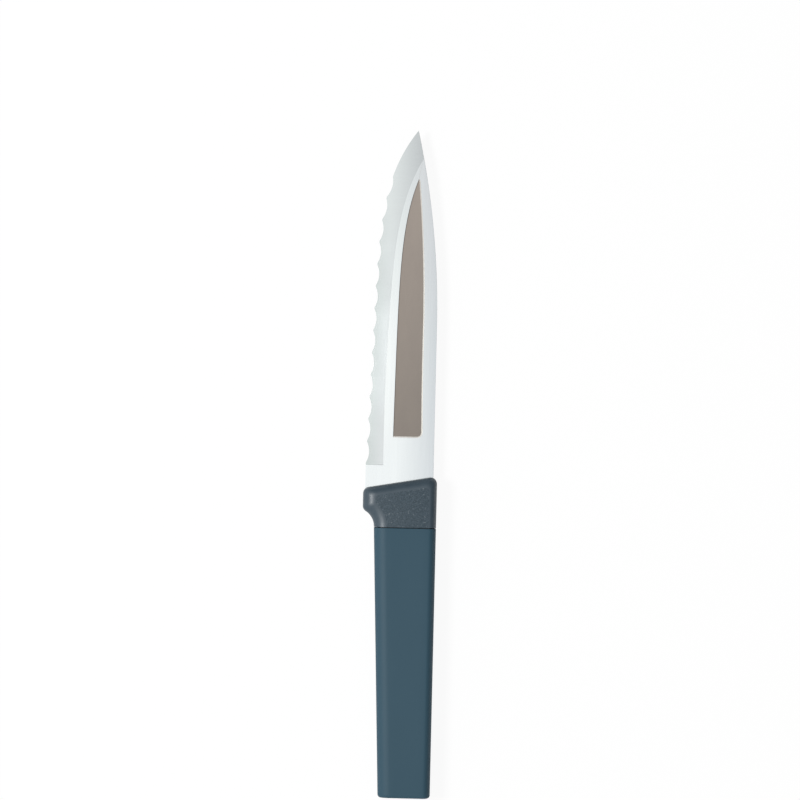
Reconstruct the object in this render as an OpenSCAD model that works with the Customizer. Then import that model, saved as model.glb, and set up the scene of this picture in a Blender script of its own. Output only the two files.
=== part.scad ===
// Serrated tomato knife, lying on its left-right flat side.
// Length along Y with the tip at +Y, spine towards +X, cutting edge towards -X.
// Z = 0 is the flat side that the handle lies on, and the blade is at mid thickness.
// Sub-parts are drawn round the seam corner of the handle and placed by placed().

/* [Blade] */
// Length of blade in front of the handle, along the middle of the bolster's front
blade_length = 127; // [105:1:150]
// Height of the blade at the heel
blade_height = 24.5; // [23:0.5:30]
// Thickness of the steel
blade_thickness = 1.6; // [1.2:0.1:2.4]
// Thickness that is left at the cutting edge
edge_thickness = 0.15; // [0.1:0.05:0.3]
// Plain full-thickness stretch between the bolster and the ground bevel
ricasso_length = 6; // [4:0.5:12]
// Straight length of spine in front of the bolster, before it falls to the tip
spine_straight = 57; // [35:1:80]
// How far the tip lies under the straight part of the spine
tip_drop = 8.2; // [5:0.2:11]
// How far the edge climbs over the whole bevel, apart from the belly curve
edge_climb = 3.9; // [1:0.1:6]
// Distance from the bolster to the start of the belly curve
belly_start = 44; // [25:1:60]
// Power of the belly curve: higher turns up later and harder
belly_power = 5; // [3:0.5:7]

/* [Bevel] */
// Width of the ground bevel at the heel
bevel_width = 5.4; // [4:0.2:8]
// Extra width that the bevel gains up to the tip
bevel_widening = 4.2; // [1:0.2:6]

/* [Scallops] */
// Distance between scallops, along the blade
scallop_pitch = 8; // [6:0.5:12]
// Depth of a scallop, square to the edge
scallop_depth = 0.85; // [0.4:0.05:1.2]
// How far each ground hollow runs up the bevel behind the scallop
scallop_run = 2.2; // [1:0.1:3]
// Blunt width that is left at each crest
crest_width = 0.8; // [0.4:0.1:1.6]
// Distance from the end of the bevel to the first scallop's middle
first_scallop = 4.6; // [4:0.2:8]
// Length of plain edge at the tip
plain_tip = 16; // [10:1:30]

/* [Sunk panel] */
// Depth of the panel in each flat of the blade
panel_depth = 0.3; // [0.1:0.05:0.4]
// Distance from the bolster to the square end of the panel
panel_start = 16.5; // [10:0.5:30]
// Width of the flat strip between the panel and the spine
spine_strip = 5; // [3:0.5:7]
// How much that strip narrows towards the tip
strip_narrowing = 3.5; // [1:0.5:4]
// Width of the flat strip between the panel and the bevel, at the bolster
bevel_strip = 3.5; // [2.5:0.25:5]
// Width of the same strip at the tip
bevel_strip_tip = 1.7; // [1:0.1:2.5]
// Radius of the panel's corner on the spine side
panel_corner = 1.6; // [0.5:0.1:3]

/* [Handle] */
// Thickness of the handle, flat side to flat side
handle_thickness = 13; // [11:0.5:16]
// Length of the grip, from the seam to the butt
grip_length = 97.5; // [85:0.5:115]
// Width of the grip at the seam
grip_width = 22.4; // [20:0.2:24]
// Width of the grip at the butt
butt_width = 18.8; // [16:0.2:22]
// Height of the rounding along the handle's long edges
edge_round = 3.4; // [2.4:0.1:4]
// Width of that rounding on the handle's back
back_round = 2.7; // [2:0.1:3.5]
// Width of that rounding on the belly side, where the fingers lie
belly_round = 4.6; // [3:0.1:5.2]
// Radius of the rim of the butt
butt_round = 1.2; // [0.6:0.1:1.4]
// Width of the fine gap between the bolster and the sleeve
seam_gap = 0.3; // [0.1:0.1:0.5]

/* [Bolster] */
// Length of the bolster along the middle of its raked front
bolster_length = 16.2; // [15.4:0.2:20]
// Rake of the bolster's front, in degrees
bolster_rake = 10; // [0:1:12]
// How far the handle's back stands above the spine
back_lip = 1.35; // [1:0.05:2.5]
// How far the finger guard stands below the heel
guard_lip = 0.7; // [0.5:0.1:2]
// Radius of the hollow for the finger, behind the guard
finger_radius = 6.5; // [5:0.5:8]
// Width of the rounding along the bolster's front
front_round = 3.3; // [2.4:0.1:4]
// Radius of the bolster's corners, seen from the side
corner_round = 2.3; // [1.6:0.1:3]
// Radius of the same corners where the bolster's flat begins
flat_corner = 1.4; // [0.8:0.1:1.8]

/* [Tang and core] */
// Width of the tang
tang_width = 12; // [9:0.5:13]
// Length of tang behind the seam
tang_length = 62; // [50:1:75]
// Diameter of the locking holes in the tang
lock_hole = 5; // [3:0.5:6]
// Distance of the first locking hole behind the seam
first_hole = 14; // [10:1:20]
// Distance between the locking holes
hole_spacing = 32; // [20:1:34]
// Depth of the blade's full height inside the bolster
heel_seat = 1.2; // [0.8:0.1:1.6]
// Depth of the blade's tongue behind the bolster's front
tongue_seat = 4.8; // [4.2:0.1:5.2]
// How much the tongue is narrower than the blade, at each end
tongue_step = 3; // [2:0.5:4]
// Wall of the sleeve
sleeve_wall = 2; // [1.6:0.1:2.4]
// Thickness of the sleeve's closed end
sleeve_end = 3; // [2:0.5:5]
// Width of the core's tenon in the bolster
tenon_width = 16; // [14:0.5:17]
// Thickness of the core's tenon
tenon_thickness = 8; // [6:0.5:8]
// Length of the core's tenon
tenon_length = 6; // [4:0.5:7]
// Depth of the core's pegs in the other half
peg_depth = 2.2; // [1.5:0.1:2.4]
// Radius of the snap ribs on the core
rib_radius = 0.8; // [0.6:0.1:1.2]
// How far a snap rib stands out of the core
rib_height = 0.35; // [0.2:0.05:0.5]
// Length of a snap rib
rib_length = 10; // [6:0.5:12]
// Distance of the first snap rib behind the seam
first_rib = 8; // [6:0.5:12]
// Distance between the snap ribs
rib_spacing = 68; // [50:1:70]
// Clearance on every side of a fit
fit_gap = 0.1; // [0.05:0.01:0.15]

/* [Hidden] */

// Places along the knife, from the seam
tip_y = bolster_length + blade_length;
spine_y = bolster_length + spine_straight;
belly_y = bolster_length + belly_start;
grind_y = bolster_length + ricasso_length;
panel_y = bolster_length + panel_start;
tongue_y = bolster_length - tongue_seat;

// Places across the knife, from the handle's back
guard_width = back_lip + blade_height + guard_lip;
spine_side = -back_lip;
heel_side = -back_lip - blade_height;
tip_side = -back_lip - tip_drop;
tang_middle = -grip_width / 2;

half_handle = handle_thickness / 2;
half_blade = blade_thickness / 2;
half_edge = edge_thickness / 2;
half_cavity = half_handle - sleeve_wall;
half_core = half_cavity - fit_gap;
core_end = grip_length - sleeve_end - fit_gap;
past = 2;
arc_steps = 8;

// Numbers of steps along the curved outlines
spine_steps = 28;
edge_steps = 40;

// Share of the way from one place to another
function share(y, from, to) = (y - from) / (to - from);
// y of the bolster's raked front at x
function front_y(x) = bolster_length + tan(bolster_rake) * (x + guard_width / 2);
// x of the spine: straight, then a parabola down to the tip
function fall(y) = pow(max(0, share(y, spine_y, tip_y)), 2);
function spine_x(y) = spine_side - tip_drop * fall(y);
// x of the cutting edge at the crests: a slow climb and a belly that curves up to the tip
function edge_x(y) = heel_side + edge_climb * share(y, grind_y, tip_y)
    + (tip_side - heel_side - edge_climb) * pow(max(0, share(y, belly_y, tip_y)), belly_power);
// Slope of the edge against the length
function edge_slope(y) = (edge_x(y + 0.1) - edge_x(y - 0.1)) / 0.2;
// Width of the bevel, and x of the line where it meets the flat
function bevel_w(y) = bevel_width + bevel_widening * pow(share(y, grind_y, tip_y), 4);
function bevel_x(y) = edge_x(y) + bevel_w(y);
// Rise of the bevel for each millimetre from the edge
function bevel_rise(y) = (half_blade - half_edge) / bevel_w(y);
// Sides of the sunk panel
function panel_spine_x(y) = spine_x(y) - spine_strip + strip_narrowing * fall(y);
function panel_edge_x(y) = bevel_x(y) + bevel_strip
    + (bevel_strip_tip - bevel_strip) * share(y, bolster_length, tip_y);
// x of the grip's belly side
function belly_x(y) = -grip_width - (grip_width - butt_width) * y / grip_length;

scallop_count = floor((tip_y - plain_tip - grind_y - first_scallop) / scallop_pitch) + 1;

module placed() {
    translate([guard_width / 2, (grip_length - tip_y) / 2, half_handle]) children();
}

// Closed skin over rings that have the same number of points
module skin(rings) {
    n = len(rings[0]);
    last = len(rings) - 1;
    sides = [for (i = [0:last - 1], j = [0:n - 1]) each [
        [i * n + j, (i + 1) * n + (j + 1) % n, i * n + (j + 1) % n],
        [i * n + j, (i + 1) * n + j, (i + 1) * n + (j + 1) % n]
    ]];
    caps = [[for (j = [0:n - 1]) j], [for (j = [n - 1:-1:0]) last * n + j]];
    polyhedron([for (ring = rings) each ring], concat(sides, caps));
}

// Silhouette of the blade before its edge is ground, with tongue and tang
module blade_outline() {
    tang_a = tang_middle - tang_width / 2;
    tang_b = tang_middle + tang_width / 2;
    tongue_a = heel_side + tongue_step;
    tongue_b = spine_side - tongue_step;
    polygon(concat(
        [for (i = [0:edge_steps]) let (y = grind_y + (tip_y - grind_y) * i / edge_steps) [edge_x(y), y]],
        [for (i = [spine_steps - 1:-1:0])
            let (y = spine_y + (tip_y - spine_y) * i / spine_steps) [spine_x(y), y]],
        [[spine_side, front_y(spine_side) - heel_seat], [tongue_b, front_y(tongue_b) - heel_seat],
         [tongue_b, tongue_y], [tang_b, tongue_y], [tang_b, -tang_length], [tang_a, -tang_length],
         [tang_a, tongue_y], [tongue_a, tongue_y], [tongue_a, front_y(tongue_a) - heel_seat],
         [heel_side, front_y(heel_side) - heel_seat]]));
}

// Wedge that is ground off one face to leave the bevel
module bevel_cut() {
    skin([for (i = [0:edge_steps + 1])
        let (y = grind_y + (tip_y - grind_y) * i / edge_steps, rise = bevel_rise(y))
        [[edge_x(y) - past, y, half_edge - past * rise],
         [edge_x(y) - past, y, half_blade + past],
         [bevel_x(y) + past / rise, y, half_blade + past]]]);
}

// Hollow ground from the right face at y, running out up the bevel
module scallop_cut(y) {
    turn = atan(edge_slope(y));
    rise = bevel_rise(y) / cos(turn);
    tilt = ((2 * scallop_depth + scallop_run) * rise + edge_thickness) / scallop_run;
    reach = (scallop_pitch - crest_width) / 2 / cos(turn);
    wheel = reach * reach / (2 * scallop_depth * (tilt + rise));
    translate([edge_x(y), y, 0])
        rotate([0, 0, -turn])
            translate([scallop_depth, 0, half_edge + scallop_depth * rise])
                rotate([0, atan(tilt), 0])
                    translate([-past, 0, -wheel])
                        rotate([0, 90, 0])
                            cylinder(r = wheel, h = scallop_run + 2 * past, $fn = 96);
}

// Outline of the sunk panel, with a square corner and a round one at its end
module panel_outline() {
    span = tip_y - panel_y;
    right = panel_spine_x(panel_y);
    intersection() {
        polygon(concat([[heel_side, panel_y], [heel_side, tip_y]],
            [for (i = [edge_steps:-1:1])
                let (y = panel_y + span * i / edge_steps) if (y > panel_y + panel_corner + 0.1)
                [panel_spine_x(y), y]],
            [for (i = [0:arc_steps]) let (a = 90 * i / arc_steps)
                [right - panel_corner * (1 - cos(a)), panel_y + panel_corner * (1 - sin(a))]]));
        polygon(concat([[0, tip_y + past], [0, panel_y - past]],
            [for (i = [-1:edge_steps]) let (y = panel_y + span * i / edge_steps) [panel_edge_x(y), y]]));
    }
}

module blade() color("gainsboro") placed() {
    difference() {
        linear_extrude(blade_thickness, center = true) blade_outline();
        bevel_cut();
        mirror([0, 0, 1]) bevel_cut();
        for (i = [0:scallop_count - 1]) scallop_cut(grind_y + first_scallop + i * scallop_pitch);
        for (side = [0, 1])
            mirror([0, 0, side])
                translate([0, 0, half_blade - panel_depth])
                    linear_extrude(panel_depth + past) panel_outline();
        for (y = [-first_hole, -first_hole - hole_spacing])
            translate([tang_middle, y, -past]) cylinder(d = lock_hole, h = 2 * past, $fn = 48);
    }
}

// Points of an arc
function arc(centre, radius, from, to, first = 0) = [for (i = [first:arc_steps])
    let (angle = from + (to - from) * i / arc_steps) centre + radius * [cos(angle), sin(angle)]];

// Rim of the bolster, drawn in by an inset on each side: back, raked front, guard and hollow
function bolster_rim(back, front, belly, radius) = let (
    spine = -back - radius,
    guard = belly + radius - guard_width,
    drop = (front + radius) / cos(bolster_rake),
    finger = finger_radius + belly,
    finger_x = -grip_width - finger_radius,
    turn = acos((guard - finger_x) / (finger + radius))
) concat(
    [[-back, 0]],
    arc([spine, front_y(spine) - drop], radius, 0, 90 + bolster_rake),
    arc([guard, front_y(guard) - drop], radius, 90 + bolster_rake, 180),
    arc([guard, (finger + radius) * sin(turn)], radius, 180, 180 + turn),
    arc([finger_x, 0], finger, turn, 0, 1));

// Ring of the bolster at z, part of the way from the outer rim to the rim of the flat
function bolster_ring(z, part) = let (
    outer = bolster_rim(0, 0, 0, corner_round),
    inner = bolster_rim(back_round, front_round, belly_round, flat_corner)
) [for (i = [0:len(outer) - 1]) [for (v = outer[i] + (inner[i] - outer[i]) * part) v, z]];

// Slot for the heel, the tongue and the tang
module blade_slot() {
    g = fit_gap;
    tongue_a = heel_side + tongue_step - g;
    tongue_b = spine_side - tongue_step + g;
    heel_a = heel_side - g;
    heel_b = spine_side + g;
    polygon([[heel_a, front_y(heel_a) - heel_seat - g], [heel_a, front_y(heel_a) + past],
        [heel_b, front_y(heel_b) + past], [heel_b, front_y(heel_b) - heel_seat - g]]);
    translate([tongue_a, tongue_y - g]) square([tongue_b - tongue_a, tongue_seat]);
    translate([tang_middle - tang_width / 2 - g, -past]) square([tang_width + 2 * g, tongue_y + past]);
}

module bolster() color("darkslategray") placed() {
    difference() {
        skin([for (side = [-1, 1], i = [0:arc_steps])
            let (a = 90 * (side > 0 ? i : i - arc_steps) / arc_steps,
                z = side * (half_handle - edge_round) + edge_round * sin(a))
            bolster_ring(z, 1 - cos(a))]);
        linear_extrude(blade_thickness + 2 * fit_gap, center = true) blade_slot();
        translate([tang_middle - tenon_width / 2 - fit_gap, -past, -tenon_thickness / 2 - fit_gap])
            cube([tenon_width + 2 * fit_gap, tenon_length + past + fit_gap, tenon_thickness + 2 * fit_gap]);
    }
}

// Outline of the sleeve's cavity, or of the core when it is set in by a gap
module cavity_outline(gap, front, back) {
    side = -sleeve_wall - gap;
    polygon([[side, front], [belly_x(front) + sleeve_wall + gap, front],
        [belly_x(-back) + sleeve_wall + gap, -back], [side, -back]]);
}

// Snap ribs, thickened by a gap for their grooves
module snap_ribs(gap) {
    for (y = [-first_rib, -first_rib - rib_spacing])
        translate([tang_middle - rib_length / 2 - gap, y, half_core + rib_height - rib_radius])
            rotate([0, 90, 0]) cylinder(r = rib_radius + gap, h = rib_length + 2 * gap, $fn = 32);
}

// Upper half of the core, with the half pocket for the tang
module core_half() {
    difference() {
        union() {
            linear_extrude(half_core) cavity_outline(fit_gap, 0, core_end);
            translate([tang_middle - tenon_width / 2, -past, 0])
                cube([tenon_width, tenon_length + past, tenon_thickness / 2]);
            snap_ribs(0);
        }
        translate([tang_middle - tang_width / 2 - fit_gap, -tang_length - fit_gap, -past])
            cube([tang_width + 2 * fit_gap, tang_length + tenon_length + past,
                past + half_blade + fit_gap]);
    }
}

// Pegs through the tang's holes, thickened by a gap for their sockets
module pegs(gap, depth) {
    for (y = [-first_hole, -first_hole - hole_spacing])
        translate([tang_middle, y, -half_blade - fit_gap - depth])
            cylinder(d = lock_hole - 2 * fit_gap + 2 * gap,
                h = depth + blade_thickness + 3 * fit_gap, $fn = 48);
}

module core_left() color("slategray") placed() {
    core_half();
    pegs(0, peg_depth);
}

module core_right() color("lightslategray") placed() {
    difference() {
        mirror([0, 0, 1]) core_half();
        pegs(fit_gap, peg_depth + fit_gap);
    }
}

// Ring of the grip at y, drawn in by an inset, with corners that are quarters of ellipses
function grip_ring(y, inset) = let (
    a = belly_x(y) + belly_round,
    b = -back_round,
    h = half_handle - edge_round
) [for (corner = [[b, h, 0, back_round], [a, h, 90, belly_round],
        [a, -h, 180, belly_round], [b, -h, 270, back_round]], i = [0:arc_steps])
    let (angle = corner[2] + 90 * i / arc_steps)
    [corner[0] + (corner[3] - inset) * cos(angle), y,
        corner[1] + (edge_round - inset) * sin(angle)]];

module grip_sleeve() color("cadetblue") placed() {
    difference() {
        skin(concat([grip_ring(-seam_gap, 0)],
            [for (i = [0:arc_steps]) let (a = 90 * i / arc_steps)
                grip_ring(-grip_length + butt_round * (1 - sin(a)), butt_round * (1 - cos(a)))]));
        translate([0, 0, -half_cavity])
            linear_extrude(2 * half_cavity) cavity_outline(0, past, grip_length - sleeve_end);
        snap_ribs(fit_gap);
        mirror([0, 0, 1]) snap_ribs(fit_gap);
    }
}

blade();
bolster();
core_left();
core_right();
grip_sleeve();
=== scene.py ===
"""Serrated tomato knife, dressed for a studio picture.

The knife lies on its flat side: length along +Y to the tip, spine towards +X, cutting edge
towards -X. Every piece is drawn in millimetres round the seam corner of the handle (the place
where the sleeve, the bolster and the handle's back meet, at mid thickness), and Layout moves it
into the shared frame, in metres.
"""

import logging
import math
from dataclasses import dataclass, field
from enum import Enum
from typing import Callable

import bmesh
import bpy
import numpy as np
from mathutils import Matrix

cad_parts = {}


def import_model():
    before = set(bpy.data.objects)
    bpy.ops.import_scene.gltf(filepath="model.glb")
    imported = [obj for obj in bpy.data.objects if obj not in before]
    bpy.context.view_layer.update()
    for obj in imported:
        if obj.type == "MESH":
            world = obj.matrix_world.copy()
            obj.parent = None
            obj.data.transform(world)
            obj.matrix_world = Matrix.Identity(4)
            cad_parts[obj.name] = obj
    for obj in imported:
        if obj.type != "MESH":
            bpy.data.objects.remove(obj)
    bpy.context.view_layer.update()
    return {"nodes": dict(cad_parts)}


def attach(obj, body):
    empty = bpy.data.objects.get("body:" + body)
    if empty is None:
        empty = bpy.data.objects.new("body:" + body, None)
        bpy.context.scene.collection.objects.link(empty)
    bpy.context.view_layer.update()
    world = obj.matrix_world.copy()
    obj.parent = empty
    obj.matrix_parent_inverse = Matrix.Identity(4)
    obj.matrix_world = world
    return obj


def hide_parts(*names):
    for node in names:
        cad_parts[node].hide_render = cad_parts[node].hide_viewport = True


log = logging.getLogger("knife")
logging.basicConfig(level=logging.INFO, format="%(name)s: %(message)s")

Array = np.ndarray
Span = tuple[float, float]
Scale = Colour = tuple[float, float, float]
Material = bpy.types.Material
Piece = bpy.types.Object
Socket = bpy.types.NodeSocket

MILLIMETRE = 0.001
HALVINGS = 40
ROUNDING = 1e-9
MERGE_GAP = 1e-7
LEAST_LENGTH = 1e-8
WHITE = (1.0, 1.0, 1.0)
NOISE_SPAN = (0.3, 0.7)


def share(value: Array, low: float, high: float) -> Array:
    """Share of the way from low to high: (value - low) / (high - low), held to 0 and 1."""
    return np.clip((np.asarray(value, float) - low) / (high - low), 0.0, 1.0)


def find_root(function: Callable[[Array], Array], low: Array, high: Array) -> Array:
    """Place where a rising function passes zero, by halving the span again and again.

    Args:
        function: Takes an array of places and gives the values there, rising with the place.
        low: Places where the search starts.
        high: Places where it ends.

    Returns:
        The places of the roots, or the end of the span where there is none.
    """
    low, high = np.array(low, float), np.array(high, float)
    for _ in range(HALVINGS):
        middle = (low + high) / 2
        above = function(middle) > 0
        high = np.where(above, middle, high)
        low = np.where(above, low, middle)
    return (low + high) / 2


def add_object(name: str, data: bpy.types.ID) -> Piece:
    """Links a new object with its mesh, camera or lamp into the scene."""
    thing = bpy.data.objects.new(name, data)
    bpy.context.scene.collection.objects.link(thing)
    return thing


@dataclass(frozen=True)
class Layout:
    """Places that the sub-assemblies share, in millimetres from the seam corner."""

    blade_length: float = 127.0
    blade_height: float = 24.5
    bolster_length: float = 16.2
    rake: float = math.radians(10.0)
    back_lip: float = 1.35
    guard_lip: float = 0.7
    handle_thickness: float = 13.0
    grip_length: float = 97.5
    grip_width: float = 22.4
    butt_width: float = 18.8
    edge_round: float = 3.4
    back_round: float = 2.7
    belly_round: float = 4.6
    seam_gap: float = 0.3
    tang_width: float = 12.0

    @property
    def tip_y(self) -> float:
        """Place of the tip along the knife."""
        return self.bolster_length + self.blade_length

    @property
    def guard_width(self) -> float:
        """Width of the handle at the finger guard."""
        return self.back_lip + self.blade_height + self.guard_lip

    @property
    def half_handle(self) -> float:
        """Half of the handle's thickness."""
        return self.handle_thickness / 2

    def front_y(self, x: Array) -> Array:
        """Raked front of the bolster: a straight line that rises towards the spine."""
        return self.bolster_length + math.tan(self.rake) * (x + self.guard_width / 2)

    def to_frame(self, points: Array) -> Array:
        """Moves points in millimetres from the seam corner to the shared frame in metres.

        There the box's middle lies on the axes, and the flat side at z = 0.
        """
        shift = (self.guard_width / 2, (self.grip_length - self.tip_y) / 2, self.half_handle)
        return (np.asarray(points, float) + shift) * MILLIMETRE


@dataclass
class Skin:
    """Closed skin over rings that have the same number of points.

    Attributes:
        rings: Array of rings by points by coordinates. Seen from the last ring, each ring
            runs anticlockwise.
        zone: For each strip of faces between two rings and each side of the ring, the number
            of its finish.
        creases: Ring point numbers whose lines along the skin are sharp.
        folds: Pairs of ring number and a mask of ring sides whose lines across are sharp.
        smooth_angle: Any fold sharper than this is a crease too, or None.
        caps: Number of the finish of the two end faces, or None for their neighbours'.
    """

    rings: Array
    zone: Array | None = None
    creases: tuple[int, ...] = ()
    folds: list[tuple[int, Array]] = field(default_factory=list)
    smooth_angle: float | None = math.radians(32)
    caps: int | None = None

    def build(self, name: str, layout: Layout, finishes: list[Material]) -> Piece:
        """Puts the skin into a mesh object.

        The faces between ring i and ring i + 1 are quads over neighbouring points, and one
        face closes each end.

        Args:
            name: Name of the new piece.
            layout: Moves the points into the shared frame.
            finishes: Materials, in the order that zone counts them.

        Returns:
            The new object, whose place is in its mesh.
        """
        rows, around = self.rings.shape[:2]
        row, side = np.meshgrid(np.arange(rows - 1), np.arange(around), indexing="ij")
        after = (side + 1) % around
        quads = np.stack([row * around + side, row * around + after,
                          (row + 1) * around + after, (row + 1) * around + side], axis=-1)
        faces = quads.reshape(-1, 4).tolist()
        faces.append(list(range(around - 1, -1, -1)))
        faces.append(list(range((rows - 1) * around, rows * around)))
        mesh = bpy.data.meshes.new(name)
        mesh.from_pydata(layout.to_frame(self.rings.reshape(-1, 3)).tolist(), [], faces)
        for finish in finishes:
            mesh.materials.append(finish)
        if self.zone is not None:
            ends = self.zone[[0, -1], 0] if self.caps is None else [self.caps] * 2
            zones = np.append(self.zone.reshape(-1), ends)
            mesh.polygons.foreach_set("material_index", zones.astype(np.int32))
        mesh.polygons.foreach_set("use_smooth", np.ones(len(faces), bool))
        self._mark_creases(mesh, around)
        self._tidy(mesh)
        if self.smooth_angle is not None:
            mesh.set_sharp_from_angle(angle=self.smooth_angle)
        log.info("%s: %d faces", name, len(mesh.polygons))
        return add_object(name, mesh)

    def _mark_creases(self, mesh: bpy.types.Mesh, around: int) -> None:
        """Marks creases and folds as sharp, while vertex numbers still count rings and points."""
        if not self.creases and not self.folds:
            return
        ends = np.empty(len(mesh.edges) * 2, np.int32)
        mesh.edges.foreach_get("vertices", ends)
        ring, point = np.divmod(ends.reshape(-1, 2), around)
        sharp = (point[:, 0] == point[:, 1]) & np.isin(point[:, 0], self.creases)
        start = np.where((point[:, 0] + 1) % around == point[:, 1], point[:, 0], point[:, 1])
        for number, mask in self.folds:
            sharp |= (ring[:, 0] == number) & (ring[:, 1] == number) & mask[start]
        attribute = mesh.attributes.new("sharp_edge", "BOOLEAN", "EDGE")
        attribute.data.foreach_set("value", sharp)

    @staticmethod
    def _tidy(mesh: bpy.types.Mesh) -> None:
        """Merges points that coincide, which also drops faces without area."""
        work = bmesh.new()
        work.from_mesh(mesh)
        bmesh.ops.remove_doubles(work, verts=work.verts, dist=MERGE_GAP)
        bmesh.ops.dissolve_degenerate(work, edges=work.edges, dist=LEAST_LENGTH)
        work.to_mesh(mesh)
        work.free()


class Zone(Enum):
    """Finishes of the blade, by the part of the steel that they cover."""

    FLAT = 0
    BEVEL = 1
    PANEL = 2
    SPINE = 3
    PANEL_LIP = 4
    PANEL_WALL = 5


@dataclass
class Blade:
    """The steel: scalloped edge, ground bevels, sunk panels, plain ricasso, tongue and tang."""

    layout: Layout
    thickness: float = 1.6
    edge_thickness: float = 0.15
    least_edge: float = 0.03
    ricasso: float = 6.0
    spine_straight: float = 57.0
    tip_drop: float = 8.2
    edge_climb: float = 3.9
    belly_start: float = 44.0
    belly_power: float = 5.0
    bevel_width: float = 5.4
    bevel_widening: float = 4.2
    bevel_heel: float = 0.9
    heel_reach: float = 40.0
    plunge: float = 0.08
    shoulder: float = 0.03
    scallop_pitch: float = 8.0
    scallop_depth: float = 0.85
    scallop_run: float = 2.2
    crest_width: float = 0.8
    first_scallop: float = 4.6
    plain_tip: float = 16.0
    panel_depth: float = 0.3
    panel_start: float = 16.5
    panel_wall: float = 0.2
    panel_lip: float = 0.42
    spine_strip: float = 5.0
    strip_narrowing: float = 3.5
    strip_heel: float = 0.6
    bevel_strip: float = 4.2
    bevel_strip_tip: float = 1.7
    panel_corner: float = 1.6
    spine_round: float = 0.08
    heel_seat: float = 1.2
    tongue_seat: float = 4.8
    tongue_step: float = 3.0
    tang_length: float = 62.0
    rows_a_scallop: int = 24
    rows_of_nose: int = 44

    # Shares of the steel's height and width that the spine's rounding may take up
    round_limits: Span = (0.45, 0.3)

    # Least step between two columns, least gap between fixed and other rows, step over which
    # the edge's slope is measured, and how far in from the edge the sharp line and the end of
    # the hollow are looked for
    least_step: float = 0.02
    row_gap: float = 0.06
    slope_step: float = 0.1
    sharp_reach: float = 2.0
    hollow_reach: float = 5.0

    # Number of steps across the steel in each part: scallop, bevel, strip, wall, panel, wall,
    # strip, and the rounded corner of the spine
    steps_across: tuple[int, ...] = (7, 6, 3, 2, 8, 2, 4, 5)

    def __post_init__(self) -> None:
        """Works out the places that the blade's curves share."""
        lay = self.layout
        self.half = self.thickness / 2
        self.half_edge = self.edge_thickness / 2
        self.heel_side = -lay.back_lip - lay.blade_height
        self.spine_side = -lay.back_lip
        self.tip_side = -lay.back_lip - self.tip_drop
        self.grind_y = lay.bolster_length + self.ricasso
        self.spine_y = lay.bolster_length + self.spine_straight
        self.belly_y = lay.bolster_length + self.belly_start
        self.panel_y = lay.bolster_length + self.panel_start
        room = lay.tip_y - self.plain_tip - self.grind_y - self.first_scallop
        number = np.arange(int(room / self.scallop_pitch) + 1)
        self.scallop_y = self.grind_y + self.first_scallop + self.scallop_pitch * number

    def edge_x(self, y: Array) -> Array:
        """Cutting edge at the crests: a slow straight climb plus a power curve over the belly."""
        lay = self.layout
        lift = self.tip_side - self.heel_side - self.edge_climb
        return (self.heel_side + self.edge_climb * share(y, self.grind_y, lay.tip_y)
                + lift * share(y, self.belly_y, lay.tip_y) ** self.belly_power)

    def fall(self, y: Array) -> Array:
        """Fall of the spine as a share: the square of the way from its bend to the tip."""
        return share(y, self.spine_y, self.layout.tip_y) ** 2

    def spine_x(self, y: Array) -> Array:
        """Spine: straight, then a parabola down to the tip."""
        return self.spine_side - self.tip_drop * self.fall(y)

    def near_heel(self, y: Array) -> Array:
        """Closeness to the heel: 1 there, and the square of the way left over heel_reach."""
        return (1 - share(y, self.grind_y, self.grind_y + self.heel_reach)) ** 2

    def ground_w(self, y: Array) -> Array:
        """Main width of the bevel: constant plus the fourth power of the way to the tip."""
        way = share(y, self.grind_y, self.layout.tip_y)
        return self.bevel_width + self.bevel_widening * way ** 4

    def bevel_w(self, y: Array) -> Array:
        """Width of the bevel, which spreads a little towards the heel."""
        return self.ground_w(y) + self.bevel_heel * self.near_heel(y)

    def bevel_rise(self, y: Array) -> Array:
        """Rise of the bevel for each millimetre from the edge."""
        return (self.half - self.half_edge) / self.bevel_w(y)

    def upper_z(self, x: Array, y: Array) -> Array:
        """Height of the upper face without its panel.

        The bevel rises in a straight line from the edge to the flat, and starts at the short
        plunge beside the ricasso.
        """
        bevel = np.minimum(self.half, self.half_edge + self.bevel_rise(y) * (x - self.edge_x(y)))
        return self.half - share(y, self.grind_y, self.grind_y + self.plunge) * (self.half - bevel)

    def hollow_z(self, x: Array, y: Array) -> Array:
        """Height of the hollows that are ground from the lower face.

        Each is the top of a wheel that lies along a line square to the edge: its height falls
        in a straight line up the bevel and as a parabola to both sides, and the highest of
        the hollows counts. Where nothing is ground, it lies far below the blade.
        """
        highest = np.full(np.broadcast(x, y).shape, -1e3)
        for middle in self.scallop_y:
            step = self.slope_step
            slope = (self.edge_x(middle + step) - self.edge_x(middle - step)) / (2 * step)
            turn = math.atan(slope)
            rise = float(self.bevel_rise(middle)) / math.cos(turn)
            tilt = ((2 * self.scallop_depth + self.scallop_run) * rise
                    + self.edge_thickness) / self.scallop_run
            reach = (self.scallop_pitch - self.crest_width) / 2 / math.cos(turn)
            wheel = reach ** 2 / (2 * self.scallop_depth * (tilt + rise))
            across, along = x - self.edge_x(middle), y - middle
            inward = across * math.cos(turn) - along * math.sin(turn)
            sideways = across * math.sin(turn) + along * math.cos(turn)
            height = (self.half_edge + self.scallop_depth * rise
                      - (inward - self.scallop_depth) * tilt - sideways ** 2 / (2 * wheel))
            highest = np.maximum(highest, height)
        return highest

    def lower_z(self, x: Array, y: Array) -> Array:
        """Height of the lower face: the mirror of the upper one, or the hollow if it is higher."""
        return np.maximum(-self.upper_z(x, y), self.hollow_z(x, y))

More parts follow.
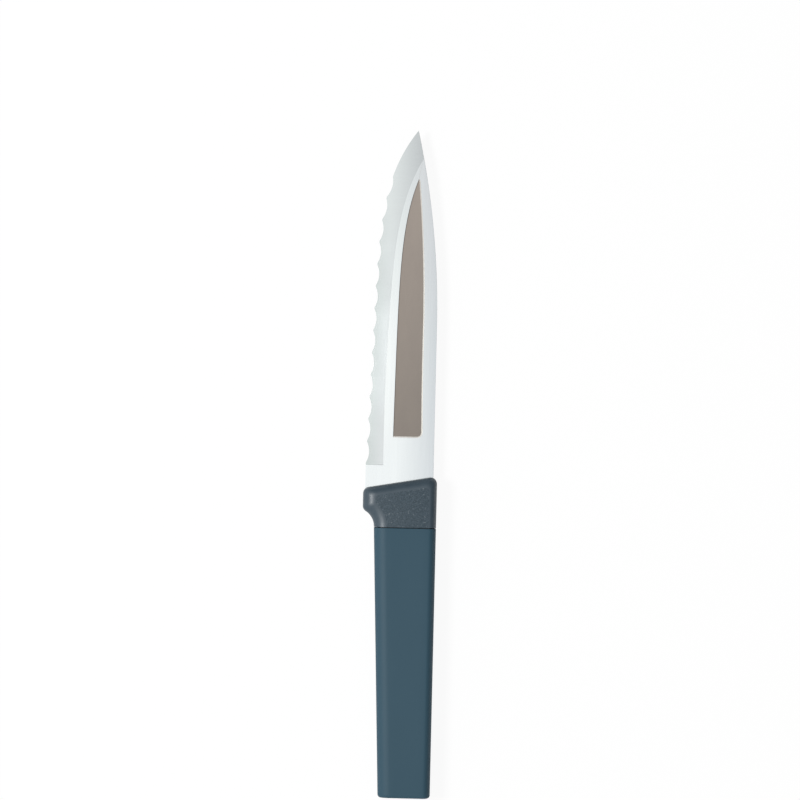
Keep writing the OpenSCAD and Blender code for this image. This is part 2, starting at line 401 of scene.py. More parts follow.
    def row_places(self) -> Array:
        """Places of the rings along the ground blade, close together where the shape turns."""
        pitch, end = self.scallop_pitch, self.layout.tip_y - self.least_step
        last = self.scallop_y[-1] + pitch / 2
        step = pitch / self.rows_a_scallop
        scallops = np.arange(self.scallop_y[0] - pitch / 2, last + ROUNDING, step)
        nose = last + (end - last) * np.sin(np.linspace(0, math.pi / 2, self.rows_of_nose))
        plunge = self.grind_y + np.array([0.0, 1.0]) * self.plunge
        lip = self.panel_lip * np.array([-1.0, -0.6, -0.3, 0.0])
        corner = self.panel_corner * np.array([0.1, 0.2, 0.35, 0.5, 0.7, 1.0])
        fixed = np.concatenate([plunge, self.panel_y + lip, self.panel_y + corner])
        loose = np.concatenate([scallops, nose])
        apart = np.abs(loose[:, None] - fixed[None]).min(axis=1) > self.row_gap
        return np.unique(np.concatenate([fixed, loose[apart & (loose > plunge[-1])]]))

    def panel_lines(self, y: Array) -> tuple[Array, ...]:
        """Lines of the panel's two walls, and how deep the panel is.

        The wall on the edge side is steep. The lip on the spine side and at the square end
        leans outwards over a short width. Both meet in a point at the top end.

        Args:
            y: Places along the blade.

        Returns:
            Top and foot of the wall on the edge side, foot and top of the lip on the spine
            side, and the depth.
        """
        lay = self.layout
        edge_side = (self.edge_x(y) + self.ground_w(y) + self.bevel_strip
                     + (self.bevel_strip_tip - self.bevel_strip)
                     * share(y, lay.bolster_length, lay.tip_y))
        spine_side = (self.spine_x(y) - self.spine_strip + self.strip_narrowing * self.fall(y)
                      + self.strip_heel * self.near_heel(y))
        middle, half = (edge_side + spine_side) / 2, np.maximum((spine_side - edge_side) / 2, 0.01)
        fade = np.minimum(1.0, half / self.panel_wall)
        end = self.panel_y
        depth = self.panel_depth * fade * share(y, end - self.panel_lip, end)
        wall = np.minimum(self.panel_wall, half * 0.9)
        return (middle - half, middle - half + wall, middle + half,
                middle + half + self.panel_lip * fade, depth)

    def corner_inset(self, y: Array, radius: float) -> Array:
        """How far the panel's round corner draws its side in, by the circle's equation."""
        past = np.clip(self.panel_y + self.panel_corner - y, 0, radius)
        return radius - np.sqrt(radius ** 2 - past ** 2)

    def ring_columns(self, y: Array) -> tuple[Array, Array]:
        """Places across the upper face for each row, and for each the panel's depth there."""
        edge = self.edge_x(y)
        tiny = np.minimum(self.least_step, self.least_step * (self.spine_x(y) - edge))
        spine = self.spine_x(y) - self.spine_corner(y) - tiny

        def steel(x: Array) -> Array:
            """Thickness of the steel."""
            return self.upper_z(x, y) - self.lower_z(x, y)

        sharp = find_root(lambda x: steel(x) - self.least_edge, edge, edge + self.sharp_reach)
        sharp = np.where(steel(edge) >= self.edge_thickness * 0.999, edge, sharp)
        ground = find_root(lambda x: -(self.hollow_z(x, y) + self.upper_z(x, y)),
                           sharp, sharp + self.hollow_reach)
        bevel = np.minimum(edge + self.bevel_w(y), spine - 4 * tiny)
        lines = [sharp, np.clip(ground, sharp + tiny, bevel - tiny), bevel]
        edge_top, edge_low, spine_low, spine_top, depth = self.panel_lines(y)
        spine_low = spine_low - self.corner_inset(y, self.panel_corner)
        spine_top = spine_top - self.corner_inset(y, self.panel_corner + self.panel_lip)
        for line, gap, room in ((edge_top, 1.0, 3.0), (edge_low, 0.5, 2.5),
                                (spine_low, 0.5, 2.0), (spine_top, 0.5, 1.0)):
            lines.append(np.clip(line, lines[-1] + gap * tiny, spine - room * tiny))
        lines.append(spine)
        columns, depths = [lines[0]], [np.zeros_like(y)]
        for number, steps in enumerate(self.steps_across[:-1]):
            for step in range(1, steps + 1):
                part = step / steps
                columns.append(lines[number] + (lines[number + 1] - lines[number]) * part)
                inside = {3: part, 4: 1.0, 5: 1.0 - part}.get(number, 0.0)
                depths.append(depth * inside)
        return np.stack(columns, axis=1), np.stack(depths, axis=1)

    def spine_corner(self, y: Array) -> Array:
        """Radius of the spine's corners, held under the steel's thickness and width there."""
        tall, wide = self.upper_z(self.spine_x(y), y), self.spine_x(y) - self.edge_x(y)
        of_height, of_width = self.round_limits
        return np.minimum(self.spine_round, np.minimum(of_height * tall, of_width * wide))

    def rings(self) -> Array:
        """Rings round the steel, from the tang's end to the tip.

        A ring runs over the upper face from the edge to the spine, round the spine's two
        corners, and back under the lower face.
        """
        y = self.row_places()
        columns, depth = self.ring_columns(y)
        tall = y[:, None]
        over = self.upper_z(columns, tall) - depth
        under = self.lower_z(columns, tall) + depth
        corner = self.spine_corner(y)[:, None]
        angle = np.linspace(0, math.pi / 2, self.steps_across[-1] + 1)[None, 1:]
        top = self.upper_z(self.spine_x(y), y)[:, None]
        bend_x = self.spine_x(tall) - corner * (1 - np.sin(angle))
        bend_z = top - corner * (1 - np.cos(angle))
        x = np.concatenate([columns, bend_x, bend_x[:, ::-1], columns[:, ::-1]], axis=1)
        z = np.concatenate([over, bend_z, -bend_z[:, ::-1], under[:, ::-1]], axis=1)
        ground = np.stack([x, np.broadcast_to(tall, x.shape), z], axis=-1)
        return np.concatenate([self.seat_rings(ground[0]), ground], axis=0)

    def seat_rings(self, first: Array) -> Array:
        """Rings of the plain steel behind the ground blade: tang, tongue, heel and ricasso.

        They share the spread across the steel of the ground blade's first ring.
        """
        lay = self.layout
        many = sum(self.steps_across[:-1]) + 1
        bend = slice(many, many + 2 * self.steps_across[-1])
        flat_z = np.sign(first[:, 2]) * self.half
        flat_z[bend] = first[bend, 2]
        part = (first[:, 0] - first[:, 0].min()) / np.ptp(first[:, 0])

        def ring(low: float, high: float, place: Callable[[Array], Array | float]) -> Array:
            """Ring between two sides, at a place that may change across it."""
            x = low + (high - low) * part
            return np.stack([x, np.broadcast_to(place(x), x.shape), flat_z], axis=-1)

        tang = (-(lay.grip_width + lay.tang_width) / 2, (lay.tang_width - lay.grip_width) / 2)
        tongue = (self.heel_side + self.tongue_step, self.spine_side - self.tongue_step)
        tongue_y = lay.bolster_length - self.tongue_seat
        heel = ring(self.heel_side, self.spine_side, lambda x: lay.front_y(x) - self.heel_seat)
        way = (first - heel) * (1.0, 1.0, 0.0)
        return np.array([
            ring(*tang, lambda x: -self.tang_length),
            ring(*tang, lambda x: tongue_y),
            ring(*tongue, lambda x: tongue_y + self.shoulder),
            ring(*tongue, lambda x: lay.front_y(x) - self.heel_seat - self.shoulder),
            *(heel + way * step for step in (0.0, 0.25, 0.5, 0.75))])

    def ring_sides(self) -> tuple[Array, Array, list[int]]:
        """Counts the sides of a ring.

        Returns:
            Number of each side, its column from the cutting edge on either face, and the
            columns where the parts across the steel start.
        """
        starts = [0, *np.cumsum(self.steps_across).tolist()]
        half = starts[-1] + 1
        side = np.arange(2 * half)
        return side, np.where(side < half, side, 2 * half - 2 - side), starts

    def zones(self, rings: Array) -> Array:
        """Number of the finish of each face, by its place on the steel."""
        _, column, starts = self.ring_sides()
        y = (rings[:-1, :, 1] + rings[1:, :, 1]) / 2
        zone = np.full(y.shape, Zone.FLAT.value)
        zone[(column < starts[2]) & (y > self.grind_y)] = Zone.BEVEL.value
        floor = (column >= starts[3]) & (column < starts[5])
        zone[floor & (y > self.panel_y)] = Zone.PANEL.value
        zone[floor & (y > self.panel_y) & (column < starts[4])] = Zone.PANEL_WALL.value
        lip = (column >= starts[5]) & (column < starts[6]) | floor & (y < self.panel_y)
        zone[lip & (y > self.panel_y - self.panel_lip)] = Zone.PANEL_LIP.value
        zone[:, column > starts[-2]] = Zone.SPINE.value
        zone[:, -1] = Zone.BEVEL.value
        return zone

    def build(self, finishes: list[Material]) -> Piece:
        """Builds the steel as one closed skin, with its finishes in the order of Zone."""
        rings, y = self.rings(), self.row_places()
        side, column, starts = self.ring_sides()
        around, seats = len(side), len(rings) - len(y)
        creases = (*starts[:7], *(around - 1 - n for n in starts[:7]))
        bevel = column < starts[2]
        panel = (column >= starts[3]) & (column < starts[6])
        hollow = (side >= around - 1 - starts[1]) & (side < around - 1)
        lines = [(self.grind_y, bevel), (self.grind_y + self.plunge, bevel),
                 (self.panel_y - self.panel_lip, panel), (self.panel_y, panel)]
        lines += [(middle + self.scallop_pitch / 2, hollow) for middle in self.scallop_y[:-1]]
        folds = [(seats + int(np.argmin(np.abs(y - place))), mask) for place, mask in lines]
        folds += [(n, np.ones(around, bool)) for n in range(5)]
        skin = Skin(rings, self.zones(rings), creases, folds, None)
        piece = skin.build("blade", self.layout, finishes)
        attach(piece, "root")
        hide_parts("blade")
        return piece


@dataclass
class Bolster:
    """Hard moulding at the front of the handle: raked front, finger guard, slot for the steel."""

    layout: Layout
    front_round: float = 3.3
    corner_round: float = 2.3
    flat_corner: float = 1.4
    finger_radius: float = 6.5
    heel_seat: float = 1.3
    slot_side: float = 0.1
    slot_half: float = 0.9
    front_zone: float = 10.0
    front_points: int = 12
    arc_steps: int = 16
    round_steps: int = 12

    def rim(self, back: float, front: float, belly: float, radius: float) -> Array:
        """Outline of the bolster seen from above, drawn in by an inset on each side.

        It is made of circle arcs: two front corners, the guard's lip and the hollow for the
        finger, joined by straight lines.

        Args:
            back: Inset of the handle's back.
            front: Inset of the raked front.
            belly: Inset of the guard and of the finger hollow.
            radius: Radius of the corners.

        Returns:
            The outline's points, as many for any inset.
        """
        lay = self.layout
        spine, guard = -back - radius, belly + radius - lay.guard_width
        finger, finger_x = self.finger_radius + belly, -lay.grip_width - self.finger_radius
        turn = math.acos((guard - finger_x) / (finger + radius))
        drop = (front + radius) / math.cos(lay.rake)
        quarter = math.pi / 2

        def arc(x: float, y: float, size: float, start: float, end: float) -> Array:
            """Points of a circle arc."""
            angle = np.linspace(start, end, self.arc_steps + 1)
            return np.stack([x + size * np.cos(angle), y + size * np.sin(angle)], axis=1)

        first = arc(spine, float(lay.front_y(spine)) - drop, radius, 0, quarter + lay.rake)
        second = arc(guard, float(lay.front_y(guard)) - drop, radius, quarter + lay.rake,
                     2 * quarter)
        middle = np.linspace(first[-1], second[0], self.front_points)[1:-1]
        lip = arc(guard, (finger + radius) * math.sin(turn), radius, 2 * quarter,
                  2 * quarter + turn)
        hollow = arc(finger_x, 0.0, finger, turn, 0)
        return np.concatenate([[[-back, 0.0]], first, middle, second, lip, hollow[1:]])

    @property
    def slot_sides(self) -> Span:
        """The slot's sides, at the cutting edge and at the spine."""
        lay = self.layout
        return -lay.back_lip - lay.blade_height - self.slot_side, -lay.back_lip + self.slot_side

    def slot_rim(self, points: Array) -> Array:
        """Outline at the height of the slot: the front is drawn back to the slot's floor."""
        low, high = self.slot_sides
        inside = (points[:, 0] <= high + ROUNDING) & (points[:, 0] >= low - ROUNDING)
        number = np.flatnonzero(inside & (points[:, 1] > self.front_zone))[1:-1]
        moved = points.copy()
        moved[number, 1] = self.layout.front_y(points[number, 0]) - self.heel_seat
        return moved

    def doubled(self, outer: Array, inner: Array) -> tuple[Array, Array]:
        """Adds the points where the slot's sides cut the outer rim, each twice, to both rims."""
        rows = np.concatenate([outer, inner], axis=1)
        for side in reversed(self.slot_sides):
            crossing = np.flatnonzero((rows[:-1, 0] - side) * (rows[1:, 0] - side) < 0)
            spot = int(crossing[rows[crossing, 1] > self.front_zone][0])
            part = (side - rows[spot, 0]) / (rows[spot + 1, 0] - rows[spot, 0])
            cut = rows[spot] + (rows[spot + 1] - rows[spot]) * part
            rows = np.insert(rows, [spot + 1, spot + 1], cut, axis=0)
        return rows[:, :2], rows[:, 2:]

    def rings(self) -> Array:
        """Rings from the lower flat to the upper flat.

        Each long edge is a quarter of an ellipse: at angle a the outline has gone 1 - cos a of
        the way from the outer rim to the rim of the flat, and stands at r sin a over the
        start of the round.
        """
        lay = self.layout
        outer, inner = self.doubled(
            self.rim(0.0, 0.0, 0.0, self.corner_round),
            self.rim(lay.back_round, self.front_round, lay.belly_round, self.flat_corner))
        slot = self.slot_rim(outer)
        angle = np.linspace(0, math.pi / 2, self.round_steps + 1)
        heights = lay.half_handle - lay.edge_round * (1 - np.sin(angle))
        edge = [(height, outer + (inner - outer) * part)
                for height, part in zip(heights, 1 - np.cos(angle))]
        half = self.slot_half
        levels = [*((-height, outline) for height, outline in reversed(edge)),
                  (-half, outer), (-half, slot), (half, slot), (half, outer), *edge]
        return np.array([np.column_stack([outline, np.full(len(outline), height)])
                         for height, outline in levels])

    def build(self, grained: Material, smooth: Material) -> Piece:
        """Builds the bolster. Its two flats are grained, and the rest is smooth."""
        rings = self.rings()
        rounds = np.ones((len(rings) - 1, rings.shape[1]), int)
        piece = Skin(rings, rounds, caps=0).build("bolster", self.layout, [grained, smooth])
        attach(piece, "root")
        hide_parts("bolster")
        return piece


@dataclass
class Grip:
    """Soft sleeve over the core: tapered, closed at the butt, open at the seam."""

    layout: Layout
    butt_round: float = 1.2
    rim_round: float = 0.18
    wall: float = 2.0
    end: float = 3.0
    inner_corner: float = 0.4
    corner_steps: int = 12
    side_steps: int = 6
    rim_rings: int = 5
    side_rings: int = 14
    butt_steps: int = 10

    def belly_x(self, y: Array) -> Array:
        """Belly side of the grip: a straight taper from the seam to the butt."""
        lay = self.layout
        return -lay.grip_width - (lay.grip_width - lay.butt_width) * y / lay.grip_length

    def ring(self, y: float, inset: float, back: float, belly: float, tall: float) -> Array:
        """Rectangle across the grip whose corners are quarters of ellipses.

        Args:
            y: Place along the handle.
            inset: How far the ring is drawn in from the grip's full size.
            back: Width of the corners on the back.
            belly: Width of the corners on the belly side.
            tall: Height of the corners.

        Returns:
            The ring's points, with the sides divided as well as the corners.
        """
        low = float(self.belly_x(y)) + inset + belly
        high = -inset - back
        level = self.layout.half_handle - inset - tall
        angle = np.linspace(0, math.pi / 2, self.corner_steps + 1)
        corners = []
        centres = ((high, level), (low, level), (low, -level), (high, -level))
        for number, centre in enumerate(centres):
            turn = angle + number * math.pi / 2
            wide = belly if number in (1, 2) else back
            corners.append(np.column_stack([centre[0] + wide * np.cos(turn),
                                            centre[1] + tall * np.sin(turn)]))
        rows = []
        for number, corner in enumerate(corners):
            after = corners[(number + 1) % 4][0]
            side = np.linspace(corner[-1], after, self.side_steps + 1)[1:-1]
            rows += [corner, side]
        flat = np.concatenate(rows)
        return np.column_stack([flat[:, 0], np.full(len(flat), y), flat[:, 1]])

    def rings(self) -> Array:
        """Rings from the floor of the cavity, out over the front rim and back to the butt.

        The front rim and the rim of the butt are quarter circles: at angle a the ring is
        drawn in by r (1 - sin a) or r (1 - cos a).
        """
        lay = self.layout
        rim, front = self.rim_round, -lay.seam_gap

        def outer(y: float, inset: float) -> Array:
            """Ring of the outside at y, drawn in by an inset."""
            sizes = (lay.back_round, lay.belly_round, lay.edge_round)
            return self.ring(y, inset, *(size - inset for size in sizes))

        rows = [self.ring(y, self.wall, *[self.inner_corner] * 3)
                for y in (-lay.grip_length + self.end, front)]
        for angle in np.linspace(0, math.pi / 2, self.rim_rings):
            inset = rim * (1 - math.sin(angle))
            rows.append(outer(front - rim * (1 - math.cos(angle)), inset))
        butt = -lay.grip_length + self.butt_round
        for place in np.linspace(front, butt, self.side_rings)[1:-1]:
            rows.append(outer(float(place), 0.0))
        for angle in np.linspace(0, math.pi / 2, self.butt_steps + 1):
            inset = self.butt_round * (1 - math.cos(angle))
            place = -lay.grip_length + self.butt_round * (1 - math.sin(angle))
            rows.append(outer(place, inset))
        return np.array(rows)

    def build(self, finish: Material) -> Piece:
        """Builds the sleeve and gives it its soft finish."""
        piece = Skin(self.rings()).build("grip_sleeve", self.layout, [finish])
        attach(piece, "root")
        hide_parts("grip_sleeve")
        return piece


class Nodes:
    """Short hand for wiring a node tree."""

    def __init__(self, tree: bpy.types.NodeTree) -> None:
        """Takes up the node tree of a material or of the world."""
        self.tree = tree

    def add(self, kind: str, **values: object) -> bpy.types.Node:
        """Adds a node of a kind, with its settings and with sockets to set or to link."""
        node = self.tree.nodes.new(kind)
        for name, value in values.items():
            if hasattr(node, name):
                setattr(node, name, value)
            else:
                self.join(value, node.inputs[name.replace("_", " ")])
        return node

    def join(self, value: object, socket: Socket) -> None:
        """Links an output to a socket, or sets the socket to a number or a colour."""
        if isinstance(value, Socket):
            self.tree.links.new(value, socket)
        elif isinstance(value, tuple) and len(value) == 3 and socket.type == "RGBA":
            socket.default_value = (*value, 1.0)
        else:
            socket.default_value = value

    def maths(self, operation: str, first: object, second: object = None,
              kind: str = "ShaderNodeMath") -> Socket:
        """Adds a Math or Vector Math node and gives back its last output for numbers."""
        node = self.add(kind, operation=operation)
        self.join(first, node.inputs[0])
        if second is not None:
            self.join(second, node.inputs[1])
        return node.outputs[1 if operation in ("LENGTH", "DOT_PRODUCT") else 0]

    def remap(self, value: Socket, low: float, high: float, start: float = 0.0,
              end: float = 1.0) -> Socket:
        """Stretches a value from one span to another, held at both ends."""
        return self.add("ShaderNodeMapRange", Value=value, From_Min=low, From_Max=high,
                        To_Min=start, To_Max=end).outputs["Result"]

    def mix(self, amount: object, first: object, second: object, blend: str = "MIX") -> Socket:
        """Blends two colours by an amount, or multiplies them."""
        node = self.add("ShaderNodeMix", data_type="RGBA", blend_type=blend)
        for value, number in ((amount, 0), (first, 6), (second, 7)):
            self.join(value, node.inputs[number])
        return node.outputs[2]


class Finish(Nodes):
    """A new material, with short hand for its shader and its textures."""

    def __init__(self, name: str) -> None:
        """Starts the material under its name."""
        self.material = bpy.data.materials.new(name)
        self.material.use_nodes = True
        super().__init__(self.material.node_tree)
        self.shader = self.tree.nodes["Principled BSDF"]
        self.place = self.add("ShaderNodeTexCoord").outputs["Object"]

    def set(self, name: str, value: object) -> None:
        """Sets or links one of the shader's own sockets."""
        self.join(value, self.shader.inputs[name])

    def noise(self, scale: float | Scale, detail: float = 2.0, rough: float = 0.5) -> Socket:
        """Fractal noise between 0 and 1, with one scale or a scale for each axis."""
        place = self.place
        if isinstance(scale, tuple):
            place = self.add("ShaderNodeMapping", Vector=place, Scale=scale).outputs["Vector"]
            scale = 1.0
        return self.add("ShaderNodeTexNoise", Vector=place, Scale=scale, Detail=detail,
                        Roughness=rough).outputs["Fac"]

    def spread(self, noise: Socket, start: float = 0.0, end: float = 1.0) -> Socket:
        """Stretches the span in which most of a noise lies."""
        return self.remap(noise, *NOISE_SPAN, start, end)

    def along(self, axis: int) -> Socket:
        """One of the object coordinates, in metres."""
        return self.add("ShaderNodeSeparateXYZ", Vector=self.place).outputs[axis]

    def done(self, colour: object, rough: object, height: Socket, depth: float,
             sheen: float = 0.5, metal: float = 0.0) -> Material:
        """Sets the shader, and raises the surface by a height of 0 to 1 times depth in metres."""
        bump = self.add("ShaderNodeBump", Height=height, Distance=depth, Strength=1.0)
        for name, value in (("Base Color", colour), ("Roughness", rough), ("Metallic", metal),
                            ("Specular IOR Level", sheen), ("Normal", bump.outputs["Normal"])):
            self.set(name, value)
        return self.material


@dataclass(frozen=True)
class PaintedLightTone:
    """Colours of the steel at one place along the blade, as linear light, which paint the
    reflections' light and shade onto the steel.

    Attributes:
        place: Place along the blade, in metres.
        edge_side: Colour towards the cutting edge.
        spine_side: Colour towards the spine.
        sides: Places across the blade, in metres, between which one turns to the other.
    """

    place: float
    edge_side: Colour
    spine_side: Colour
    sides: Span = (-0.012, 0.012)


@dataclass(frozen=True)
class Steel:
    """Ground or brushed steel.

    Attributes:
        name: Name of the finish.
        painted_light_tones: Its colours from the heel to the tip, painted reflection and shade
            across and along the steel.
        grain: Fineness of the grinding lines along each axis.
        rough: Least and greatest roughness.
        depth: Depth of the lines in metres.
        contrast: How much the lines darken the steel.
        metal: How metallic the surface is.
    """

    name: str
    painted_light_tones: tuple[PaintedLightTone, ...]
    grain: Scale
    rough: Span
    depth: float
    contrast: float
    metal: float = 1.0

    def make(self) -> Material:
        """Wires the finish: fine stretched noise for the lines, and a slow change of colour across
        and along the blade that paints the reflections' shading.
        """
        kit = Finish(self.name)
        lines, cloud = kit.noise(self.grain, 3.0, 0.6), kit.noise((60, 25, 60))
        across, along = kit.along(0), kit.along(1)
        shades = [kit.mix(kit.remap(across, *tone.sides), tone.edge_side, tone.spine_side)
                  for tone in self.painted_light_tones]
        colour = shades[0]
        for before, after, shade in zip(self.painted_light_tones, self.painted_light_tones[1:], shades[1:]):
            colour = kit.mix(kit.remap(along, before.place, after.place), colour, shade)
        lined = kit.mix(kit.spread(lines), (1 - self.contrast,) * 3, WHITE)
        return kit.done(kit.mix(1.0, colour, lined, "MULTIPLY"), kit.spread(cloud, *self.rough),
                        lines, self.depth, metal=self.metal)


@dataclass(frozen=True)
class PanelFinish:
    """Etched grey-brown floor of the blade's sunk panels."""

    name: str = "panel_etched_steel"
    heel: Colour = (0.191, 0.169, 0.148)
    point: Colour = (0.262, 0.229, 0.201)
    stain: Colour = (0.95, 0.95, 0.96)
    places: Span = (0.010, 0.100)
    pit: float = 5200.0

    def make(self) -> Material:
        """Wires the finish: a slow change of tone along the blade and a fine etched pitting."""
        kit = Finish(self.name)
        pits, cloud = kit.noise(self.pit, 2.0, 0.6), kit.noise((220, 70, 220), 3.0, 0.55)
        tone = kit.mix(kit.remap(kit.along(1), *self.places), self.heel, self.point)
        stained = kit.mix(kit.spread(cloud), self.stain, WHITE)
        return kit.done(kit.mix(1.0, tone, stained, "MULTIPLY"), kit.spread(pits, 0.42, 0.55),
                        pits, 0.000004, metal=0.85)


@dataclass(frozen=True)
class GrainedPlastic:
    """Hard plastic with a spark-eroded grain, as on the bolster's flats."""

    name: str = "bolster_grained_plastic"
    colour: Colour = (0.022, 0.041, 0.056)
    # The lighter colour on the grain's tops is a painted highlight, and the sparse light specks are
    # painted glints.
    top_highlight: Colour = (0.060, 0.088, 0.112)
    glint_speck: Colour = (0.120, 0.150, 0.170)
    grain: float = 2100.0
    finer: float = 2.7
    glint_spacing: float = 1500.0
    depth: float = 0.000022

    def make(self) -> Material:
        """Wires the finish: pits of two sizes, a painted highlight that lightens their tops, and a
        few light specks that are painted glints.
        """
        kit = Finish(self.name)
        coarse, fine = kit.noise(self.grain, 2.0, 0.55), kit.noise(self.grain * self.finer, 1.0)
        height = kit.remap(kit.maths("ADD", coarse, fine), 0.6, 1.4)
        # Tops of the grain painted lighter as a highlight, and sparse specks painted on as glints.
        body = kit.mix(kit.remap(height, 0.35, 0.85), self.colour, self.top_highlight)
        glint_mask = kit.remap(kit.noise(self.glint_spacing, 1.0, 0.4), 0.64, 0.80)
        return kit.done(kit.mix(glint_mask, body, self.glint_speck), kit.remap(height, 0.2, 0.8, 0.46, 0.32),
                        height, self.depth, sheen=0.35)


@dataclass(frozen=True)
class SmoothPlastic:
    """Plastic or coating with a slow mottle between two colours, a fine texture and a sheen.

    The mottle has a scale for each axis, and the texture's depth is in metres.
    """

    name: str
    colour: Colour
    light: Colour
    mottle: Scale
    grain: float
    rough: Span
    sheen: float
    depth: float

    def make(self) -> Material:
        """Wires the finish."""
        kit = Finish(self.name)
        cloud, fine = kit.noise(self.mottle, 3.0), kit.noise(self.grain)
        return kit.done(kit.mix(kit.spread(cloud), self.colour, self.light),
                        kit.spread(fine, *self.rough), fine, self.depth, self.sheen)


# The bolster's plastic where the mould was polished, as on its rounded edges
POLISHED_PLASTIC = SmoothPlastic(
    "bolster_smooth_plastic", (0.039, 0.061, 0.080), (0.047, 0.070, 0.090),
    (260, 260, 260), 5200.0, (0.34, 0.42), 0.42, 0.000002)

# Satin soft-touch coating of the sleeve
SOFT_COATING = SmoothPlastic(
    "grip_soft_coating", (0.0306, 0.0730, 0.1035), (0.0346, 0.0790, 0.1110),
    (45, 14, 45), 3800.0, (0.5, 0.58), 0.22, 0.000004)


@dataclass(frozen=True)
class CorePlastic:
    """Plain moulded plastic of the hidden core."""

    name: str = "core_moulded_plastic"
    colour: Colour = (0.020, 0.026, 0.032)
    light: Colour = (0.026, 0.033, 0.040)

    def make(self) -> Material:
        """Wires the finish: dark plastic with faint flow marks."""
        kit = Finish(self.name)
        flow = kit.noise((300, 60, 300), 3.0)
        return kit.done(kit.mix(kit.spread(flow), self.colour, self.light), 0.6, flow, 0.00002)


@dataclass
class Studio:
    """White floor, soft light and the camera, which looks straight down on the knife."""

    distance: float = 1.6
    view_width: float = 0.2888
    sensor: float = 36.0
    centre: Span = (-0.00077, 0.02297)
    level: float = 0.0065
    roll: float = math.radians(1.348)
    ambient: float = 0.6
    dark_side: Scale = (0.75, 0.66, 0.0)
    dark_span: Span = (0.45, 1.25)
    darkest: float = 0.2
    floor_size: float = 6.0
    floor_points: int = 9
    floor_level: float = -0.00002
    lamp_direction: Scale = (-0.56, 0.03, 1.0)
    lamp_distance: float = 1.5
    lamp_size: float = 0.4
    lamp_power: float = 15.0
    paper_glow: float = 0.93

    def camera(self) -> None:
        """Makes the camera. Its lens makes view_width fill the picture at the blade's height."""
        data = bpy.data.cameras.new("camera")
        data.sensor_width = self.sensor
        data.lens = self.sensor * self.distance / self.view_width
        data.clip_end = 10.0
        eye = add_object("camera", data)
        eye.location = (*self.centre, self.level + self.distance)
        eye.rotation_euler = (0.0, 0.0, self.roll)
        bpy.context.scene.camera = eye

    def world(self) -> None:
        """Makes the world: white to the camera, dimmer as ambient light, with a dark side.

        Light and reflections fall off towards the horizon behind the spine and the tip: the
        darkness rises with the length of a direction's level part plus its part towards the
        dark side, over dark_span.
        """
        world = bpy.data.worlds.new("studio")
        bpy.context.scene.world = world
        world.use_nodes = True
        kit, vector = Nodes(world.node_tree), "ShaderNodeVectorMath"
        light = kit.tree.nodes["Background"]
        kit.join(WHITE, light.inputs["Color"])
        way = kit.add("ShaderNodeTexCoord").outputs["Generated"]
        level = kit.maths("MULTIPLY", way, (1.0, 1.0, 0.0), vector)
        dark = kit.maths("ADD", kit.maths("LENGTH", level, kind=vector),
                         kit.maths("DOT_PRODUCT", level, self.dark_side, vector))
        path = kit.add("ShaderNodeLightPath").outputs
        shiny = kit.maths("MAXIMUM", path["Is Glossy Ray"], path["Is Transmission Ray"])
        lit = kit.maths("MULTIPLY", kit.remap(dark, *self.dark_span, 1.0, self.darkest),
                        kit.remap(shiny, 0.0, 1.0, self.ambient))
        kit.join(kit.maths("MAXIMUM", lit, path["Is Camera Ray"]), light.inputs["Strength"])

    def lamp(self) -> None:
        """Makes one large soft lamp over the edge side of the knife."""
        data = bpy.data.lights.new("key", "AREA")
        data.shape = "DISK"
        data.size = self.lamp_size
        data.energy = self.lamp_power
        key = add_object("key", data)
        way = np.array(self.lamp_direction) / np.linalg.norm(self.lamp_direction)
        key.location = tuple(way * self.lamp_distance + np.array([*self.centre, 0.0]))
        key.rotation_euler = (math.atan2(math.hypot(way[0], way[1]), way[2]), 0.0,
                              math.atan2(way[1], way[0]) + math.pi / 2)

    def floor(self) -> None:
        """Makes the white floor: a grid that keeps the knife's soft shadow."""
        many = self.floor_points
        steps = np.linspace(-self.floor_size / 2, self.floor_size / 2, many)
        x, y = np.meshgrid(steps, steps, indexing="ij")
        points = np.stack([x, y, np.full_like(x, self.floor_level)], axis=-1).reshape(-1, 3)
        start = np.arange(many * many).reshape(many, many)[:-1, :-1]
        faces = np.stack([start, start + many, start + many + 1, start + 1], axis=-1)
        mesh = bpy.data.meshes.new("floor")
        mesh.from_pydata(points.tolist(), [], faces.reshape(-1, 4).tolist())
        mesh.materials.append(self.floor_finish())
        floor = add_object("floor", mesh)

    def floor_finish(self) -> Material:
        """White paper: part of what the camera sees is plain white, the rest takes the shadow."""
        kit = Finish("white_paper")
        for name, value in (("Base Color", WHITE), ("Roughness", 1.0), ("Specular IOR Level", 0.0)):
            kit.set(name, value)
        glow = kit.add("ShaderNodeEmission", Color=WHITE, Strength=1.0)
        seen = kit.add("ShaderNodeLightPath").outputs["Is Camera Ray"]
        blend = kit.add("ShaderNodeMixShader")
        for number, value in enumerate((kit.maths("MULTIPLY", seen, self.paper_glow),
                                        kit.shader.outputs[0], glow.outputs[0])):
            kit.join(value, blend.inputs[number])
        kit.join(blend.outputs[0], kit.tree.nodes["Material Output"].inputs["Surface"])
        return kit.material

    def build(self) -> None:
        """Builds the whole studio."""
        bpy.context.scene.view_settings.view_transform = "Standard"
        self.camera()
        self.world()
        self.lamp()
        self.floor()


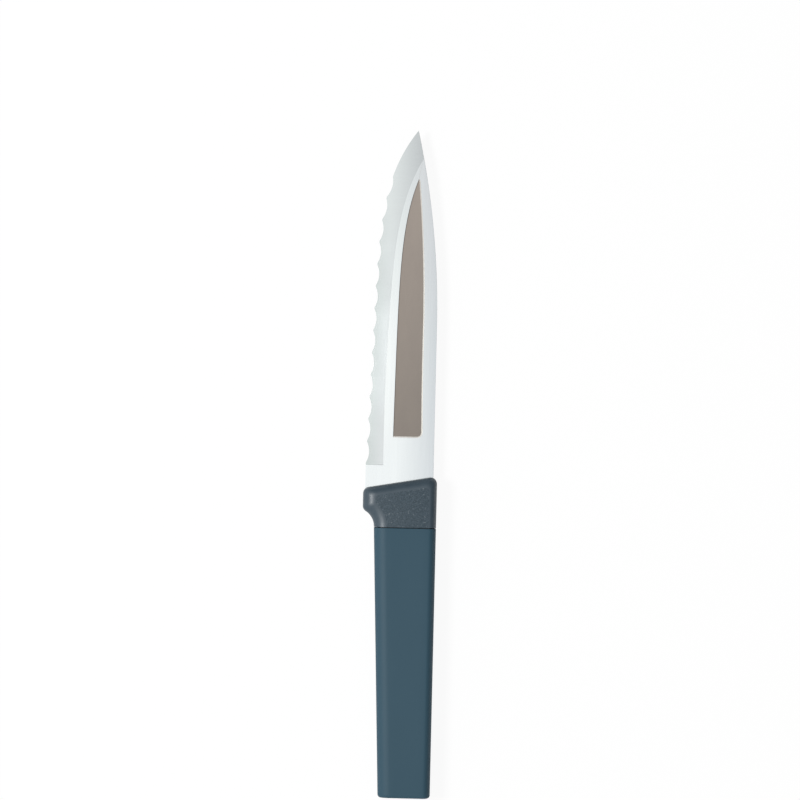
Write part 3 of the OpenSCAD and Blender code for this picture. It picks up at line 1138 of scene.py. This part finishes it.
def steel_finishes() -> list[Material]:
    """Finishes of the blade, in the order of Zone."""
    # Painted reflection: the flat steel's colour darkens towards the spine and towards the tip, in
    # place of the studio's reflections.
    flat = Steel("flat_brushed_steel", (
        PaintedLightTone(0.004, (0.880, 0.920, 0.925), (0.672, 0.712, 0.735), (-0.002, 0.012)),
        PaintedLightTone(0.016, (0.915, 0.955, 0.950), (0.670, 0.710, 0.735), (-0.005, 0.011)),
        PaintedLightTone(0.045, (0.905, 0.945, 0.940), (0.645, 0.685, 0.705), (-0.005, 0.011)),
        PaintedLightTone(0.115, (0.725, 0.775, 0.775), (0.640, 0.660, 0.680), (-0.002, 0.008))),
        (1500, 45, 1500), (0.12, 0.18), 0.0000015, 0.03)
    # Painted shade: the bevel is darker than the flat and changes along the blade in place of its
    # reflections, partly also its own duller grind.
    bevel = Steel("bevel_ground_steel", (
        PaintedLightTone(0.010, (0.580, 0.630, 0.620), (0.660, 0.690, 0.695), (-0.0125, -0.007)),
        PaintedLightTone(0.024, (0.530, 0.575, 0.565), (0.600, 0.630, 0.635), (-0.0125, -0.007)),
        PaintedLightTone(0.059, (0.527, 0.570, 0.562), (0.590, 0.620, 0.625), (-0.010, -0.004)),
        PaintedLightTone(0.107, (0.740, 0.785, 0.780), (0.530, 0.560, 0.570), (-0.006, 0.005))),
        (60, 2600, 900), (0.10, 0.14), 0.0000015, 0.03)
    # Painted light: the spine's corner is given a pale colour against the dark side it reflects,
    # darker towards the tip.
    spine = Steel("spine_ground_steel", (
        PaintedLightTone(0.045, (0.72, 0.74, 0.76), (0.70, 0.72, 0.74)),
        PaintedLightTone(0.115, (0.62, 0.64, 0.66), (0.60, 0.62, 0.64))),
        (900, 2600, 900), (0.36, 0.42), 0.0000003, 0.02, 0.35)
    # The two walls of the sunk panel: the lip on the spine side is pale cream, a painted highlight
    # where it faces the lamp, and the wall on the edge side is darker brown-grey, partly painted
    # shade.
    lip = Steel("panel_lip_steel", (
        PaintedLightTone(0.045, (0.90, 0.87, 0.83), (0.72, 0.70, 0.65), (-0.004, 0.008)),
        PaintedLightTone(0.115, (0.48, 0.46, 0.43), (0.48, 0.46, 0.43))),
        (900, 200, 900), (0.36, 0.44), 0.000001, 0.02, 0.1)
    wall = Steel("panel_wall_steel", (
        PaintedLightTone(0.045, (0.32, 0.28, 0.26), (0.32, 0.28, 0.26)),
        PaintedLightTone(0.115, (0.36, 0.32, 0.29), (0.36, 0.32, 0.29))),
        (900, 200, 900), (0.36, 0.44), 0.000001, 0.02, 0.3)
    return [flat.make(), bevel.make(), PanelFinish().make(), spine.make(), lip.make(), wall.make()]


def main() -> None:
    """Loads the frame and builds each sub-assembly round it."""
    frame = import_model()
    layout = Layout()
    Studio().build()
    log.info("studio built")
    Blade(layout).build(steel_finishes())
    Bolster(layout).build(GrainedPlastic().make(), POLISHED_PLASTIC.make())
    Grip(layout).build(SOFT_COATING.make())
    core = CorePlastic().make()
    for name in ("core_left", "core_right"):
        mesh = frame["nodes"][name].data
        mesh.materials.clear()
        mesh.materials.append(core)
        log.info("%s dressed", name)


if __name__ == "__main__":
    main()
